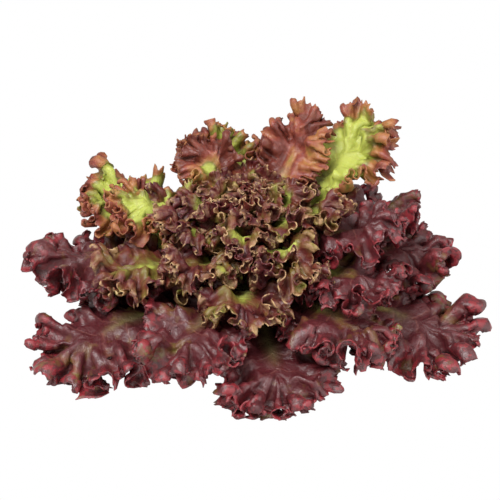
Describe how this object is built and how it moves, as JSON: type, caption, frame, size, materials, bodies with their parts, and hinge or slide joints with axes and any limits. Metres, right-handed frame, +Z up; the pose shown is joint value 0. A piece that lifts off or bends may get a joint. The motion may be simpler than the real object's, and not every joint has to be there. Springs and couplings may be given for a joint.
{
  "type": "head of red frilled lettuce",
  "caption": "A loose head of red frilled leaf lettuce standing on its cut stem, with layered wavy leaves spread round a tightly curled heart.",
  "frame": {"origin": "centre of the stem's flat cut face, on the surface that the head stands on", "axes": "+Z up along the stem; +X to the picture's right, along the longest spread of the leaves; -Y towards the picture's viewer"},
  "size_m": [0.2675, 0.2276, 0.1162],
  "materials": {
    "stem_flesh": "pale green-white stem flesh, matte, with a browned cut face",
    "burgundy_leaf": "dark burgundy leaf, glossy, with paler veins and an olive inner blade",
    "bronze_leaf": "lime green leaf turning olive and bronze, with crimson frills",
    "heart_leaf": "purple-brown curls with tan and yellow-green edges"
  },
  "bodies": {
    "root": {"stem": "stem_flesh", "floor_leaf_1": "burgundy_leaf", "floor_leaf_2": "burgundy_leaf", "floor_leaf_3": "burgundy_leaf", "floor_leaf_4": "burgundy_leaf", "floor_leaf_5": "burgundy_leaf", "floor_leaf_6": "burgundy_leaf", "outer_leaf_1": "burgundy_leaf", "outer_leaf_2": "burgundy_leaf", "outer_leaf_3": "burgundy_leaf", "outer_leaf_4": "burgundy_leaf", "outer_leaf_5": "burgundy_leaf", "outer_leaf_6": "burgundy_leaf", "middle_leaf_1": "burgundy_leaf", "middle_leaf_2": "heart_leaf", "middle_leaf_3": "heart_leaf", "middle_leaf_4": "bronze_leaf", "middle_leaf_5": "bronze_leaf", "middle_leaf_6": "burgundy_leaf", "upper_leaf_1": "heart_leaf", "upper_leaf_2": "heart_leaf", "upper_leaf_3": "bronze_leaf", "upper_leaf_4": "bronze_leaf", "upper_leaf_5": "bronze_leaf", "upper_leaf_6": "burgundy_leaf", "inner_leaf_1": "heart_leaf", "inner_leaf_2": "heart_leaf", "inner_leaf_3": "bronze_leaf", "inner_leaf_4": "bronze_leaf", "inner_leaf_5": "heart_leaf", "heart": "heart_leaf"}
  },
  "joints": []
}
